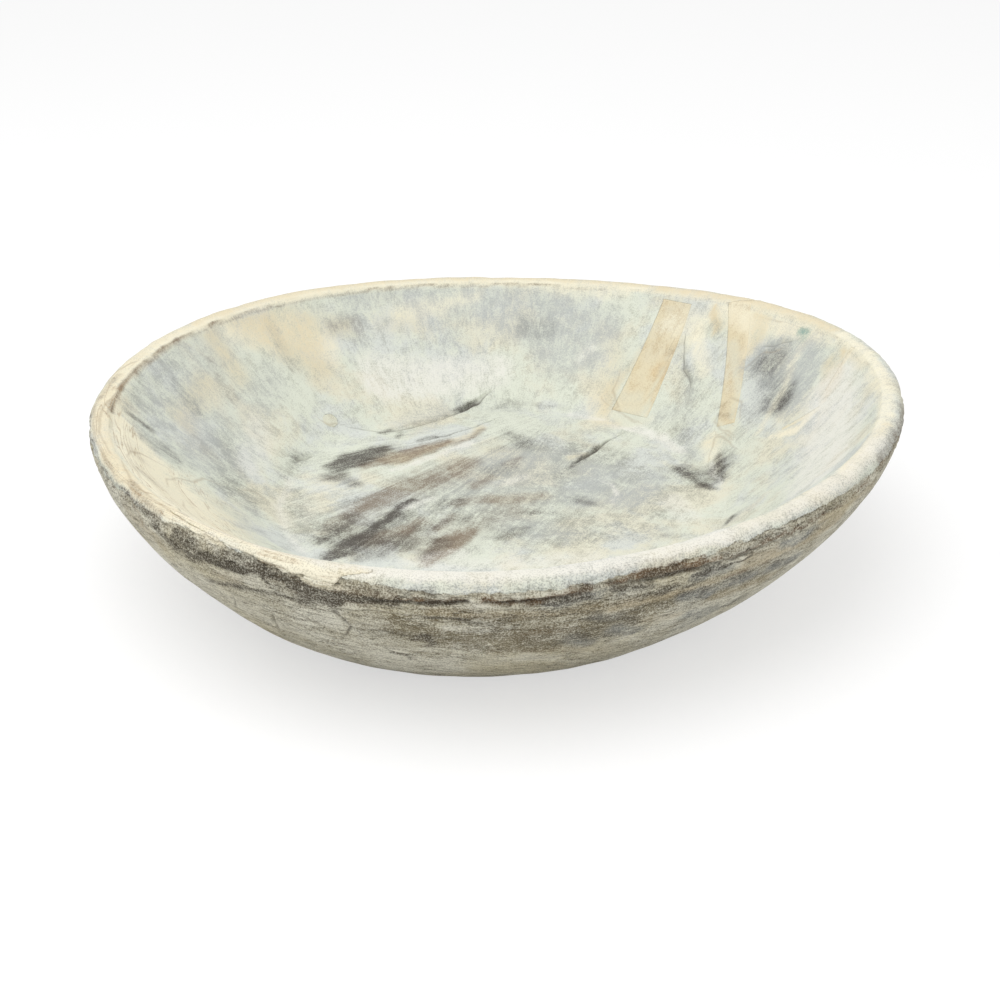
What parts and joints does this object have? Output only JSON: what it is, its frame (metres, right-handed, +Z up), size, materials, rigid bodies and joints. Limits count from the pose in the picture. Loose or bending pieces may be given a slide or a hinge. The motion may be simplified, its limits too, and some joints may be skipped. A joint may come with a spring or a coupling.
{
  "type": "dough bowl",
  "caption": "Round hand-hewn wooden dough bowl with a thick rounded rim, sloping walls, a flat floor, let-in repair strips and a limewashed finish.",
  "frame": {"origin": "on the table, under the middle of the rim's outline", "axes": "+X to the right in the picture, +Y to the back, +Z up"},
  "size_m": [0.4088, 0.4052, 0.1001],
  "materials": {
    "limewashed_wood": "limewashed and rubbed back, matt",
    "tan_wood": "thinly washed, matt",
    "plug_wood": "thinly washed, matt",
    "lime_filler": "chalky, matt"
  },
  "bodies": {
    "root": {"bowl_body": "limewashed_wood", "repair_strip_left": "tan_wood", "repair_strip_right": "tan_wood", "knot_plug": "plug_wood", "crack_filler": "lime_filler", "rim_filler": "lime_filler"}
  },
  "joints": []
}
